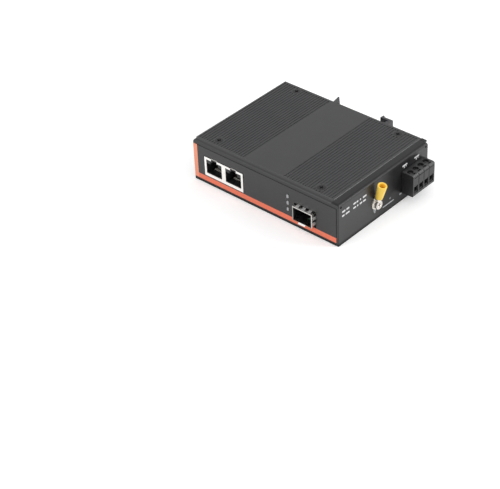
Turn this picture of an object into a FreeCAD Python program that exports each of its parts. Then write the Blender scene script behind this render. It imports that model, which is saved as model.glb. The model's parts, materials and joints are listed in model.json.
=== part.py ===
import FreeCAD, Part
import math
import os
import Sketcher

# Fibre media converter lying on its side, sizes in millimetres.
# Origin: centre of the case's underside. +X towards the terminal end, -Y the port face, +Z the ribbed cover.

os.makedirs("parts", exist_ok=True)
doc = FreeCAD.newDocument("converter")
sheet = doc.addObject("Spreadsheet::Sheet", "dims")
V = FreeCAD.Vector
row = [0]
nodes = []


class Size:
    """A number together with the sheet expression that gives it."""

    def __init__(self, value, text):
        self.value = float(value)
        self.text = text

    def __float__(self):
        return self.value

    def join(self, other, sign, value):
        return Size(value, "(%s %s %s)" % (self.text, sign, text_of(other)))

    def __add__(self, other):
        return self.join(other, "+", self.value + float(other))

    def __sub__(self, other):
        return self.join(other, "-", self.value - float(other))

    def __mul__(self, other):
        return self.join(other, "*", self.value * float(other))

    def __truediv__(self, other):
        return self.join(other, "/", self.value / float(other))

    def __radd__(self, other):
        return Size(float(other), text_of(other)) + self

    def __rsub__(self, other):
        return Size(float(other), text_of(other)) - self

    def __rmul__(self, other):
        return Size(float(other), text_of(other)) * self

    def __neg__(self):
        return Size(-self.value, "(0 - %s)" % self.text)


def text_of(value):
    return value.text if isinstance(value, Size) else "(%r)" % float(value)


def dim(alias, value):
    row[0] += 1
    sheet.set("A%d" % row[0], alias)
    sheet.set("B%d" % row[0], str(value))
    sheet.setAlias("B%d" % row[0], alias)
    return Size(value, "dims." + alias)


# Case
case_len = dim("case_len", 115.0)
case_dep = dim("case_dep", 86.0)
case_hgt = dim("case_hgt", 29.0)
wall = dim("wall", 1.2)
corner_r = dim("corner_r", 0.6)
bend_r = dim("bend_r", 2.0)
flange_front = dim("flange_front", 3.2)
flange_right = dim("flange_right", 5.7)
relief_r = dim("relief_r", 0.75)
cover_t = dim("cover_t", 3.0)
cover_gap = dim("cover_gap", 0.1)
cover_over = dim("cover_over", 1.1)
edge_bevel = dim("edge_bevel", 0.4)

# Ribs of the cover
groove_pitch = dim("groove_pitch", 2.0)
groove_w = dim("groove_w", 1.0)
groove_deep = dim("groove_deep", 0.5)
groove_end = dim("groove_end", 0.9)
band_left = dim("band_left", -18.9)
band_right = dim("band_right", 12.9)
GROOVES = 19

# Cover screws
screw_in_left = dim("screw_in_left", 14.2)
screw_in_right = dim("screw_in_right", 14.1)
screw_in_front = dim("screw_in_front", 5.5)
screw_in_rear = dim("screw_in_rear", 4.3)
m3_hole = dim("m3_hole", 1.65)
m3_shank = dim("m3_shank", 1.45)
m3_bore = dim("m3_bore", 1.5)
csk_r = dim("csk_r", 2.75)
csk_h = dim("csk_h", 1.6)
cross_w = dim("cross_w", 3.0)
cross_deep = dim("cross_deep", 1.1)
tip_gap = dim("tip_gap", 0.2)
tab_half = dim("tab_half", 4.5)
tab_long = dim("tab_long", 12.0)
nut_r = dim("nut_r", 3.0)
nut_h = dim("nut_h", 1.8)
press_gap = dim("press_gap", 0.02)
HEX = 6
THREAD_SIDES = 12

# Front film
film_t = dim("film_t", 0.3)
film_in_left = dim("film_in_left", 0.6)
film_in_right = dim("film_in_right", 1.5)
film_low = dim("film_low", 2.1)
film_top = dim("film_top", 26.3)

# Circuit board
board_low = dim("board_low", 5.1)
board_t = dim("board_t", 1.6)
board_gap = dim("board_gap", 1.3)
post_r = dim("post_r", 2.75)
post_edge = dim("post_edge", 7.2)
post_front_x = dim("post_front_x", 8.0)
post_left_y = dim("post_left_y", -16.0)
post_term = dim("post_term", 19.5)
post_bore_low = dim("post_bore_low", 1.6)
board_screw_r = dim("board_screw_r", 2.9)
board_screw_h = dim("board_screw_h", 1.9)
board_screw_in = dim("board_screw_in", 2.4)

# Double copper port
jack_in = dim("jack_in", 9.6)
jack_len = dim("jack_len", 31.6)
jack_hgt = dim("jack_hgt", 13.5)
jack_dep = dim("jack_dep", 21.5)
jack_proud = dim("jack_proud", 0.5)
shield_t = dim("shield_t", 0.3)
port_pitch = dim("port_pitch", 15.8)
port_w = dim("port_w", 12.2)
port_low = dim("port_low", 2.3)
port_hgt = dim("port_hgt", 6.9)
port_deep = dim("port_deep", 15.0)
cut_gap = dim("cut_gap", 0.3)

# Plug-in fibre bay
cage_in = dim("cage_in", 25.05)
cage_w = dim("cage_w", 14.5)
cage_hgt = dim("cage_hgt", 9.6)
cage_len = dim("cage_len", 48.5)
cage_proud = dim("cage_proud", 3.0)
cage_t = dim("cage_t", 0.35)
rim_out = dim("rim_out", 0.3)
tongue_w = dim("tongue_w", 5.2)
tongue_reach = dim("tongue_reach", 0.8)
tongue_drop = dim("tongue_drop", 0.5)
bay_gap = dim("bay_gap", 0.95)
finger_w = dim("finger_w", 2.2)
finger_pitch = dim("finger_pitch", 4.6)

# Lamps
lamp_off = dim("lamp_off", 13.25)
lamp_low = dim("lamp_low", 10.6)
lamp_pitch = dim("lamp_pitch", 4.5)
lamp_w = dim("lamp_w", 1.4)
lamp_hgt = dim("lamp_hgt", 2.2)

# Power terminal
pole_pitch = dim("pole_pitch", 5.08)
term_mid = dim("term_mid", 27.1)
header_w = dim("header_w", 21.8)
header_dep = dim("header_dep", 12.0)
header_hgt = dim("header_hgt", 8.6)
header_wall = dim("header_wall", 0.9)
fit_gap = dim("fit_gap", 0.1)
pin_w = dim("pin_w", 1.0)
pin_back = dim("pin_back", 0.4)
plug_w = dim("plug_w", 21.3)
plug_out = dim("plug_out", 9.0)
plug_low = dim("plug_low", 6.4)
plug_hgt = dim("plug_hgt", 15.0)
clamp_out = dim("clamp_out", 4.3)
cage_half = dim("cage_half", 2.0)
clamp_low = dim("clamp_low", 8.6)
clamp_hgt = dim("clamp_hgt", 7.4)
clamp_lift = dim("clamp_lift", 1.5)
entry_w = dim("entry_w", 3.2)
entry_frame = dim("entry_frame", 0.9)
entry_sink = dim("entry_sink", 0.5)
face_groove = dim("face_groove", 0.5)
nose_len = dim("nose_len", 9.4)
channel_w = dim("channel_w", 2.3)
channel_up = dim("channel_up", 2.5)
label_in = dim("label_in", 1.3)
label_w = dim("label_w", 1.1)
label_len = dim("label_len", 2.6)
label_deep = dim("label_deep", 0.7)
ledge_down = dim("ledge_down", 2.2)
ledge_deep = dim("ledge_deep", 0.4)
driver_r = dim("driver_r", 2.0)
driver_deep = dim("driver_deep", 3.0)
clamp_head_r = dim("clamp_head_r", 1.7)
clamp_screw_r = dim("clamp_screw_r", 1.3)
thread_gap = dim("thread_gap", 0.04)

# Earth point
earth_y = dim("earth_y", -8.7)
earth_z = dim("earth_z", 12.3)
ring_r = dim("ring_r", 3.7)
ring_t = dim("ring_t", 0.8)
barrel_r = dim("barrel_r", 1.75)
barrel_bore = dim("barrel_bore", 1.35)
barrel_len = dim("barrel_len", 7.5)
barrel_out = dim("barrel_out", 2.33)
barrel_up = dim("barrel_up", 3.3)
barrel_floor = dim("barrel_floor", 0.9)
sleeve_foot_r = dim("sleeve_foot_r", 2.3)
sleeve_r = dim("sleeve_r", 3.0)
sleeve_len = dim("sleeve_len", 10.4)
sleeve_up = dim("sleeve_up", 1.75)
lug_lean = dim("lug_lean", 14.0)

# Rail clip
clip_w = dim("clip_w", 23.0)
clip_mid = dim("clip_mid", 1.5)
clip_pitch = dim("clip_pitch", 18.0)
clip_t = dim("clip_t", 3.2)
hook_left = dim("hook_left", -20.2)
hook_right = dim("hook_right", 23.3)
leg_t = dim("leg_t", 2.8)
lip_deep = dim("lip_deep", 8.0)
lip_t = dim("lip_t", 1.8)

half_len = case_len / 2
half_dep = case_dep / 2
board_top = board_low + board_t
cover_low = case_hgt - cover_t
cover_right = half_len - flange_right
cover_front = flange_front - half_dep
screw_left = screw_in_left - half_len
screw_right = cover_right - screw_in_right
screw_front = cover_front + screw_in_front
screw_rear = half_dep - screw_in_rear
screw_mid_x = (screw_left + screw_right) / 2
screw_mid_y = (screw_front + screw_rear) / 2
screw_half_x = (screw_right - screw_left) / 2
screw_half_y = (screw_rear - screw_front) / 2
film_left = film_in_left - half_len
film_right = half_len - film_in_right
jack_left = jack_in - half_len
cage_mid = half_len - cage_in
lamp_x = cage_mid - lamp_off
clamp_x = half_len + clamp_out
jack_front = -half_dep - jack_proud
jack_mid = jack_left + jack_len / 2
cage_front = -half_dep - cage_proud
cage_low = board_top
clip_low = cover_low - clip_w


# Helpers for parts made of primitives and booleans

def bind(obj, prop, value):
    """Sets a property, from the sheet where the value comes from it."""
    if isinstance(value, Size):
        obj.setExpression(prop, value.text)
    else:
        setattr(obj, prop, value)


def place(obj, x, y, z, turn=None):
    """Puts the object's own origin at x, y, z."""
    obj.Placement = FreeCAD.Placement(V(float(x), float(y), float(z)), turn or FreeCAD.Rotation())
    for axis, value in zip("xyz", (x, y, z)):
        if isinstance(value, Size):
            obj.setExpression("Placement.Base." + axis, value.text)
    return obj


def block(x0, x1, y0, y1, z0, z1, turn=None):
    """A box given by its limits; a turn is about its low corner."""
    obj = doc.addObject("Part::Box", "block")
    bind(obj, "Length", x1 - x0)
    bind(obj, "Width", y1 - y0)
    bind(obj, "Height", z1 - z0)
    return place(obj, x0, y0, z0, turn)


TURNS = {
    "x": FreeCAD.Rotation(V(0, 1, 0), 90),
    "y": FreeCAD.Rotation(V(1, 0, 0), -90),
    "z": FreeCAD.Rotation(),
}


def rod(x, y, z, radius, length, axis="z"):
    """A cylinder that starts at x, y, z and runs along +axis."""
    obj = doc.addObject("Part::Cylinder", "rod")
    bind(obj, "Radius", radius)
    bind(obj, "Height", length)
    return place(obj, x, y, z, TURNS[axis] if isinstance(axis, str) else axis)


def taper(x, y, z, r_start, r_end, length, axis="z"):
    """A cone that starts at x, y, z and runs along +axis."""
    obj = doc.addObject("Part::Cone", "taper")
    bind(obj, "Radius1", r_start)
    bind(obj, "Radius2", r_end)
    bind(obj, "Height", length)
    return place(obj, x, y, z, TURNS[axis] if isinstance(axis, str) else axis)


def prism(x, y, z, radius, length, sides, axis="z"):
    """A bar with a regular outline that starts at x, y, z and runs along +axis."""
    obj = doc.addObject("Part::Prism", "prism")
    obj.Polygon = sides
    bind(obj, "Circumradius", radius)
    bind(obj, "Height", length)
    return place(obj, x, y, z, TURNS[axis])


def join(shapes, name="joined"):
    """Several shapes as one; shapes that don't touch stay separate solids."""
    if len(shapes) == 1:
        return shapes[0]
    obj = doc.addObject("Part::MultiFuse", name)
    obj.Shapes = shapes
    obj.Refine = True
    return obj


def minus(base, tools, name="cut"):
    obj = doc.addObject("Part::Cut", name)
    obj.Base = base
    obj.Tool = join(tools)
    obj.Refine = True
    return obj


def node(name, obj):
    """Gives the finished object its node name."""
    obj.Label = name
    nodes.append((name, obj))
    return obj


# Helpers for parts made of sketches, pads and pockets

PLANES = {"x": "YZ_Plane", "y": "XZ_Plane", "z": "XY_Plane"}


def new_body(name):
    return doc.addObject("PartDesign::Body", name)


def sketch_on(body, axis, at):
    """A sketch across the axis. Its own coordinates are (Y, Z), (X, Z) or (X, Y)."""
    sk = body.newObject("Sketcher::SketchObject", body.Name + "_sketch")
    plane = [f for f in body.Origin.OriginFeatures if f.Role == PLANES[axis]][0]
    sk.AttachmentSupport = [(plane, "")]
    sk.MapMode = "FlatFace"
    # A sketch across Y faces -Y
    depth = -1.0 * at if axis == "y" else at
    sk.AttachmentOffset = FreeCAD.Placement(V(0, 0, float(depth)), FreeCAD.Rotation())
    if isinstance(depth, Size):
        sk.setExpression("AttachmentOffset.Base.z", depth.text)
    return sk


def fix(sk, constraint, value):
    number = sk.addConstraint(constraint)
    if isinstance(value, Size):
        sk.setExpression("Constraints[%d]" % number, value.text)


def outline(sk, points):
    """A closed outline with every corner tied to the sheet."""
    first = sk.GeometryCount
    count = len(points)
    flat = [V(float(a), float(b), 0) for a, b in points]
    for i in range(count):
        sk.addGeometry(Part.LineSegment(flat[i], flat[(i + 1) % count]), False)
    for i in range(count):
        here = first + i
        sk.addConstraint(Sketcher.Constraint("Coincident", here, 2, first + (i + 1) % count, 1))
    for i, (a, b) in enumerate(points):
        fix(sk, Sketcher.Constraint("DistanceX", -1, 1, first + i, 1, float(a)), a)
        fix(sk, Sketcher.Constraint("DistanceY", -1, 1, first + i, 1, float(b)), b)


def rectangle(sk, a0, a1, b0, b1):
    outline(sk, [(a0, b0), (a1, b0), (a1, b1), (a0, b1)])


def polygon(sk, a, b, radius, sides, turn=0.0):
    """A regular outline with its first corner on the sketch's first axis, or turned from it."""
    points = []
    for i in range(sides):
        angle = math.radians(360.0 * i / sides + turn)
        points.append((a + radius * math.cos(angle), b + radius * math.sin(angle)))
    outline(sk, points)


def ring(sk, a, b, radius):
    number = sk.addGeometry(Part.Circle(V(float(a), float(b), 0), V(0, 0, 1), float(radius)), False)
    fix(sk, Sketcher.Constraint("DistanceX", -1, 1, number, 3, float(a)), a)
    fix(sk, Sketcher.Constraint("DistanceY", -1, 1, number, 3, float(b)), b)
    fix(sk, Sketcher.Constraint("Radius", number, float(radius)), radius)


def grow(body, kind, sk, length, back=False):
    """A pad or pocket; a pad goes with the sketch's facing and a pocket against it."""
    feature = body.newObject("PartDesign::" + kind, body.Name + "_" + kind.lower())
    feature.Profile = sk
    feature.Reversed = back
    bind(feature, "Length", length)
    doc.recompute()
    return feature


def pad(body, sk, length, back=False):
    return grow(body, "Pad", sk, length, back)


def pocket(body, sk, length, back=False):
    return grow(body, "Pocket", sk, length, back)


def dress(body, kind, size, wanted):
    """A fillet or chamfer on every edge whose middle passes the test."""
    base = body.Tip
    names = []
    for i, edge in enumerate(base.Shape.Edges):
        middle = edge.valueAt((edge.FirstParameter + edge.LastParameter) / 2)
        if wanted(edge, middle):
            names.append("Edge%d" % (i + 1))
    feature = body.newObject("PartDesign::" + kind, body.Name + "_" + kind.lower())
    feature.Base = (base, names)
    bind(feature, "Radius" if kind == "Fillet" else "Size", size)
    doc.recompute()
    return feature


def repeat(body, feature, axis, pitch, count):
    """Repeats a feature along an axis of the body."""
    pattern = body.newObject("PartDesign::LinearPattern", body.Name + "_row")
    pattern.Originals = [feature]
    line = [f for f in body.Origin.OriginFeatures if f.Role == axis + "_Axis"][0]
    pattern.Direction = (line, [""])
    pattern.Occurrences = count
    bind(pattern, "Length", pitch * (count - 1))
    body.Tip = pattern
    doc.recompute()
    return pattern


def along(edge, axis):
    """True for a straight edge along the axis."""
    ends = [v.Point for v in edge.Vertexes]
    if len(ends) != 2:
        return False
    way = ends[1] - ends[0]
    return way.Length > 1e-6 and abs(abs(way.dot(axis)) - way.Length) < 1e-6


X, Y, Z = V(1, 0, 0), V(0, 1, 0), V(0, 0, 1)


def cover_screw_spots():
    return [(screw_mid_x + sx * screw_half_x, screw_mid_y + sy * screw_half_y)
            for sx in (-1.0, 1.0) for sy in (-1.0, 1.0)]


# Case, cover and film

def port_window(sk, mid, low, width, height, steps):
    """A plug-shaped window: the wide part, then narrower steps above it."""
    levels = [(width / 2, low + height)] + [(w / 2, low + top) for w, top in steps]
    right = [(mid + levels[0][0], low)]
    left = [(mid - levels[0][0], low)]
    for i, (half, top) in enumerate(levels):
        right.append((mid + half, top))
        left.append((mid - half, top))
        if i + 1 < len(levels):
            right.append((mid + levels[i + 1][0], top))
            left.append((mid - levels[i + 1][0], top))
    outline(sk, right + left[::-1])


def make_case_tray():
    """Folded steel tray with two turned-in top flanges and every cut-out."""
    body = new_body("case_tray")
    sk = sketch_on(body, "z", 0.0)
    rectangle(sk, -half_len, half_len, -half_dep, half_dep)
    pad(body, sk, case_hgt)
    top, right, front = float(case_hgt), float(half_len), -float(half_dep)
    dress(body, "Fillet", corner_r, lambda e, m: along(e, Z))
    dress(body, "Fillet", bend_r, lambda e, m: abs(m.z - top) < 1e-6 and (
        (along(e, Y) and m.x > right - 1) or (along(e, X) and m.y < front + 1)))
    # The space inside, closed above by a skin that the next cut opens
    sk = sketch_on(body, "z", case_hgt - wall)
    rectangle(sk, wall - half_len, half_len - wall, wall - half_dep, half_dep - wall)
    pocket(body, sk, case_hgt - wall * 2)
    sk = sketch_on(body, "z", case_hgt)
    rectangle(sk, -half_len - 1, cover_right, cover_front, half_dep + 1)
    pocket(body, sk, cover_t)
    # The side flange runs on past the rear wall, as the cover does
    sk = sketch_on(body, "z", case_hgt - wall)
    rectangle(sk, cover_right, half_len - bend_r, half_dep - wall, half_dep + cover_over)
    pad(body, sk, wall)
    # Tongues that take the cover screws
    sk = sketch_on(body, "z", cover_low - wall)
    for x in (screw_mid_x - screw_half_x, screw_mid_x + screw_half_x):
        rectangle(sk, x - tab_half, x + tab_half, wall / 2 - half_dep, wall - half_dep + tab_long)
        rectangle(sk, x - tab_half, x + tab_half, half_dep - wall - tab_long / 2 - 2, half_dep - wall / 2)
    pad(body, sk, wall)
    sk = sketch_on(body, "z", cover_low + 0.5)
    for x, y in cover_screw_spots():
        polygon(sk, x, y, nut_r + press_gap, HEX)
    pocket(body, sk, wall + 1)
    # Port face
    sk = sketch_on(body, "y", -half_dep - 1)
    rectangle(sk, jack_left - cut_gap, jack_left + jack_len + cut_gap,
              board_top - cut_gap, board_top + jack_hgt + cut_gap)
    rectangle(sk, cage_mid - cage_w / 2 - bay_gap, cage_mid + cage_w / 2 + bay_gap,
              cage_low - bay_gap, cage_low + cage_hgt + bay_gap)
    for i in range(3):
        z = lamp_low + lamp_pitch * i
        rectangle(sk, lamp_x - lamp_w / 2 - fit_gap, lamp_x + lamp_w / 2 + fit_gap,
                  z - lamp_hgt / 2 - fit_gap, z + lamp_hgt / 2 + fit_gap)
    pocket(body, sk, wall + 1.5)
    # Terminal end
    sk = sketch_on(body, "x", half_len + 1)
    rectangle(sk, term_mid - header_w / 2 - cut_gap, term_mid + header_w / 2 + cut_gap,
              board_top - cut_gap, board_top + header_hgt + cut_gap)
    polygon(sk, earth_y, earth_z, nut_r + press_gap, HEX, 90.0)
    ring(sk, wall * 2 - half_dep, case_hgt - bend_r - relief_r / 2, relief_r)
    ring(sk, half_dep - wall * 2, case_hgt - bend_r - relief_r / 2, relief_r)
    pocket(body, sk, wall + 1.3)
    # Rear face
    sk = sketch_on(body, "y", half_dep - wall - 0.5)
    for x, z in clip_screw_spots():
        polygon(sk, x, z, nut_r + press_gap, HEX)
    pocket(body, sk, wall + 1)
    # Floor, for the pressed-in board posts
    sk = sketch_on(body, "z", wall + 0.5)
    for x, y in post_spots():
        polygon(sk, x, y, post_r + press_gap, HEX)
    pocket(body, sk, wall + 1)
    return node("case_tray", body)


def make_top_cover():
    """Aluminium cover plate with two fields of fine ribs and a plain band between."""
    body = new_body("top_cover")
    left, right = -half_len, cover_right - cover_gap
    front, rear = cover_front + cover_gap, half_dep
    sk = sketch_on(body, "z", cover_low)
    rectangle(sk, left, right, front, rear + cover_over)
    pad(body, sk, cover_t)
    top = float(case_hgt)
    dress(body, "Chamfer", edge_bevel, lambda e, m: abs(m.z - top) < 1e-6)
    # The first groove of each field is beside the plain band
    sk = sketch_on(body, "z", case_hgt)
    rectangle(sk, band_right, band_right + groove_w, front + groove_end, rear - groove_end)
    cut = pocket(body, sk, groove_deep)
    repeat(body, cut, "X", groove_pitch, GROOVES)
    sk = sketch_on(body, "z", case_hgt)
    far = band_left - groove_w - groove_pitch * (GROOVES - 1)
    rectangle(sk, far, far + groove_w, front + groove_end, rear - groove_end)
    cut = pocket(body, sk, groove_deep)
    repeat(body, cut, "X", groove_pitch, GROOVES)
    # Low round bosses fill the grooves round each screw
    sk = sketch_on(body, "z", case_hgt - groove_deep - 0.5)
    for x, y in cover_screw_spots():
        ring(sk, x, y, csk_r + 0.6)
    pad(body, sk, groove_deep + 0.5)
    sk = sketch_on(body, "z", case_hgt)
    for x, y in cover_screw_spots():
        ring(sk, x, y, m3_hole)
    drill = body.newObject("PartDesign::Hole", "top_cover_holes")
    drill.Profile = sk
    doc.recompute()
    drill.Threaded = False
    drill.DepthType = "ThroughAll"
    bind(drill, "Diameter", m3_hole * 2)
    drill.HoleCutType = "Countersink"
    drill.HoleCutCustomValues = True
    bind(drill, "HoleCutDiameter", csk_r * 2 + 0.1)
    drill.HoleCutCountersinkAngle = 76.0
    body.Tip = drill
    doc.recompute()
    return node("top_cover", body)


def make_front_film():
    """Printed film on the port face, with a window for each port."""
    body = new_body("front_film")
    sk = sketch_on(body, "y", -half_dep)
    rectangle(sk, film_left, film_right, film_low, film_top)
    pad(body, sk, film_t)
    sk = sketch_on(body, "y", -half_dep - 1)
    more = cut_gap + 0.1
    rectangle(sk, jack_left - more, jack_left + jack_len + more,
              board_top - more, board_top + jack_hgt + more)
    rectangle(sk, cage_mid - cage_w / 2 - bay_gap, cage_mid + cage_w / 2 + bay_gap,
              cage_low - bay_gap, cage_low + cage_hgt + bay_gap)
    for i in range(3):
        z = lamp_low + lamp_pitch * i
        rectangle(sk, lamp_x - lamp_w / 2 - fit_gap, lamp_x + lamp_w / 2 + fit_gap,
                  z - lamp_hgt / 2 - fit_gap, z + lamp_hgt / 2 + fit_gap)
    pocket(body, sk, 2.0)
    return node("front_film", body)


def cross_slot(x, y, z, size, deep, axis="z"):
    """The driver cross of a screw head, cut down from its face."""
    half, thin = size / 2, size / 8
    if axis == "z":
        return [block(x - half, x + half, y - thin, y + thin, z - deep, z + 1.0),
                block(x - thin, x + thin, y - half, y + half, z - deep, z + 1.0)]
    if axis == "y":
        return [block(x - half, x + half, y - deep, y + 1.0, z - thin, z + thin),
                block(x - thin, x + thin, y - deep, y + 1.0, z - half, z + half)]
    return [block(x - deep, x + 1.0, y - half, y + half, z - thin, z + thin),
            block(x - deep, x + 1.0, y - thin, y + thin, z - half, z + half)]


def make_cover_screws():
    """Four countersunk screws."""
    made = []
    tip = cover_low - nut_h + tip_gap
    for x, y in cover_screw_spots():
        head = taper(x, y, case_hgt - csk_h, m3_shank + 0.05, csk_r, csk_h)
        shank = prism(x, y, tip, m3_shank, case_hgt - csk_h + 0.1 - tip, THREAD_SIDES)
        made.append(minus(join([head, shank]), cross_slot(x, y, case_hgt, cross_w, cross_deep)))
    return node("cover_screws", join(made, "cover_screws"))


def make_cover_nuts():
    """Four hexagonal press-in nuts, flush with the tongues of the tray."""
    made = []
    for x, y in cover_screw_spots():
        made.append(minus(prism(x, y, cover_low - nut_h, nut_r, nut_h, HEX),
                          [prism(x, y, cover_low - nut_h - 1, m3_bore, nut_h + 2, THREAD_SIDES)]))
    return node("cover_nuts", join(made, "cover_nuts"))


# Circuit board and what it carries

def post_spots():
    left, rear = post_edge - half_len, half_dep - post_edge
    return [(left, rear), (left, post_left_y), (post_front_x, post_edge - half_dep),
            (half_len - post_term, rear)]


def make_board():
    """Circuit board, clear of the walls all round."""
    body = new_body("circuit_board")
    sk = sketch_on(body, "z", board_low)
    gap = wall + board_gap
    rectangle(sk, gap - half_len, half_len - gap, gap - half_dep, half_dep - gap)
    pad(body, sk, board_t)
    sk = sketch_on(body, "z", board_top + 0.5)
    for x, y in post_spots():
        polygon(sk, x, y, m3_hole, THREAD_SIDES)
    hole = pin_w / 2 + fit_gap
    for i in range(4):
        x, y = half_len - header_dep + pin_back + pin_w / 2, pole_y(i)
        rectangle(sk, x - hole, x + hole, y - hole, y + hole)
    pocket(body, sk, board_t + 1)
    return node("circuit_board", body)


def make_posts():
    """Four hexagonal posts pressed into the floor, flush below."""
    made = []
    for x, y in post_spots():
        made.append(minus(prism(x, y, 0.0, post_r, board_low, HEX),
                          [prism(x, y, post_bore_low, m3_bore, board_low, THREAD_SIDES)]))
    return node("board_posts", join(made, "board_posts"))


def make_board_screws():
    """Four hexagon-headed screws that hold the board on its posts."""
    made = []
    for x, y in post_spots():
        head = prism(x, y, board_top, board_screw_r, board_screw_h, HEX)
        low = board_low - board_screw_in
        made.append(join([head, prism(x, y, low, m3_shank, board_top + 0.2 - low, THREAD_SIDES)]))
    return node("board_screws", join(made, "board_screws"))


def make_jack_shield():
    """Sheet shield of the double copper port, open below."""
    body = new_body("jack_shield")
    sk = sketch_on(body, "z", board_top)
    rectangle(sk, jack_left, jack_left + jack_len, jack_front, jack_front + jack_dep)
    pad(body, sk, jack_hgt)
    sk = sketch_on(body, "z", board_top)
    rectangle(sk, jack_left + shield_t, jack_left + jack_len - shield_t,
              jack_front + shield_t, jack_front + jack_dep - shield_t)
    pocket(body, sk, jack_hgt - shield_t, back=True)
    sk = sketch_on(body, "y", jack_front - 1)
    for side in (-0.5, 0.5):
        port_window(sk, jack_mid + port_pitch * side, board_top + port_low - 0.2,
                    port_w + 0.5, port_hgt + 3.0, [(4.8, jack_hgt)])
    pocket(body, sk, 1.0 + shield_t + 0.1)
    return node("jack_shield", body)


def make_jack_housing():
    """Moulded block of the double copper port, with two stepped hollows."""
    body = new_body("jack_housing")
    inset = shield_t + 0.03
    low = board_top + 0.05
    sk = sketch_on(body, "z", low)
    rectangle(sk, jack_left + inset, jack_left + jack_len - inset,
              jack_front + inset, jack_front + jack_dep - inset)
    pad(body, sk, jack_hgt - inset - 0.05)
    sk = sketch_on(body, "y", jack_front)
    for side in (-0.5, 0.5):
        port_window(sk, jack_mid + port_pitch * side, board_top + port_low, port_w, port_hgt,
                    [(6.4, port_hgt + 1.7), (3.6, port_hgt + 3.2)])
    pocket(body, sk, port_deep)
    return node("jack_housing", body)


def make_jack_contacts():
    """Eight sprung contacts in each copper port."""
    made = []
    tilt = FreeCAD.Rotation(X, 18)
    for side in (-0.5, 0.5):
        for i in range(8):
            x = jack_mid + port_pitch * side + 1.02 * (i - 3.5)
            y = jack_front + 4.5
            z = board_top + port_low + 0.6
            made.append(block(x - 0.25, x + 0.25, y, y + 9.0, z, z + 0.3, tilt))
    return node("jack_contacts", join(made, "jack_contacts"))


def make_cage():
    """Folded cage of the fibre bay with its front rim and latch tongue."""
    body = new_body("fibre_cage")
    left, right = cage_mid - cage_w / 2, cage_mid + cage_w / 2
    top = cage_low + cage_hgt
    sk = sketch_on(body, "y", cage_front)
    rectangle(sk, left, right, cage_low, top)
    pad(body, sk, cage_len, back=True)
    sk = sketch_on(body, "y", cage_front)
    rectangle(sk, left - rim_out, right + rim_out, cage_low - rim_out * 0.5, top + rim_out)
    pad(body, sk, 0.4, back=True)
    sk = sketch_on(body, "y", cage_front)
    rectangle(sk, left + cage_t, right - cage_t, cage_low + cage_t, top - cage_t)
    pocket(body, sk, cage_len - cage_t)
    # The latch tongue reaches out past the rim and bends down
    sk = sketch_on(body, "x", cage_mid - tongue_w / 2)
    tip_y, tip_z = cage_front - tongue_reach, cage_low - tongue_drop
    outline(sk, [(cage_front + 0.3, cage_low), (cage_front + 0.3, cage_low + cage_t), (cage_front, cage_low + cage_t),
                 (tip_y, tip_z + cage_t), (tip_y, tip_z), (cage_front, cage_low)])
    pad(body, sk, tongue_w)
    # The floor is open over the edge connector, and has the latch hole
    sk = sketch_on(body, "z", cage_low + 2)
    floor_rear = cage_front + cage_len
    rectangle(sk, cage_mid - 5.4, cage_mid + 5.4, floor_rear - 12, floor_rear - 1)
    outline(sk, [(cage_mid - 1.3, cage_front + 7.0), (cage_mid + 1.3, cage_front + 7.0),
                 (cage_mid, cage_front + 4.6)])
    pocket(body, sk, 3.0)
    return node("fibre_cage", body)


def make_collar():
    """Sprung earthing fingers round the mouth of the cage."""
    y0, y1 = cage_front + 0.45, cage_front + 1.1
    left, right = cage_mid - cage_w / 2, cage_mid + cage_w / 2
    top = cage_low + cage_hgt
    out, gap, thick, reach = 0.28, 0.02, 0.25, 2.7
    band = minus(block(left - out, right + out, y0, y1, cage_low - out, top + out),
                 [block(left - gap, right + gap, y0 - 1.0, y1 + 1.0, cage_low - gap, top + gap)])
    made = [band]
    for i in (-1, 0, 1):
        x = cage_mid + finger_pitch * i - finger_w / 2
        made.append(block(x, x + finger_w, y0, y0 + reach, top + gap, top + gap + thick,
                          FreeCAD.Rotation(X, 14)))
        made.append(block(x, x + finger_w, y0, y0 + reach, cage_low - gap - thick, cage_low - gap,
                          FreeCAD.Rotation(X, -12)))
    for i in (-0.5, 0.5):
        z = cage_low + cage_hgt / 2 + finger_pitch * 0.85 * i - finger_w / 2
        made.append(block(right + gap, right + gap + thick, y0, y0 + reach, z, z + finger_w,
                          FreeCAD.Rotation(Z, -13)))
        made.append(block(left - gap - thick, left - gap, y0, y0 + reach, z, z + finger_w,
                          FreeCAD.Rotation(Z, 13)))
    return node("bay_fingers", join(made, "bay_fingers"))


def make_edge_connector():
    """Edge connector at the back of the bay."""
    y0 = cage_front + cage_len - 11.5
    base = block(cage_mid - 4.9, cage_mid + 4.9, y0, y0 + 9.0, board_top, board_top + 5.8)
    slot = block(cage_mid - 4.3, cage_mid + 4.3, y0 - 1.0, y0 + 5.5, board_top + 2.4, board_top + 3.6)
    return node("edge_connector", minus(base, [slot], "edge_connector"))


def make_lamps():
    """Stack of three lamps: the moulded holder and the lenses."""
    y_face = wall - half_dep + 0.4
    z_top = lamp_low + lamp_pitch * 2 + 2.1
    holder = block(lamp_x - 2.2, lamp_x + 2.2, y_face, y_face + 6.0, board_top, z_top)
    pockets = []
    lenses = []
    for i in range(3):
        z = lamp_low + lamp_pitch * i
        gap = 0.05
        pockets.append(block(lamp_x - lamp_w / 2 - gap, lamp_x + lamp_w / 2 + gap, y_face - 1.0, y_face + 2.5,
                             z - lamp_hgt / 2 - gap, z + lamp_hgt / 2 + gap))
        lenses.append(block(lamp_x - lamp_w / 2, lamp_x + lamp_w / 2, -half_dep - film_t - 0.15, y_face + 2.4,
                            z - lamp_hgt / 2, z + lamp_hgt / 2))
    node("lamp_holder", minus(holder, pockets, "lamp_holder"))
    node("lamp_lenses", join(lenses, "lamp_lenses"))


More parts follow.
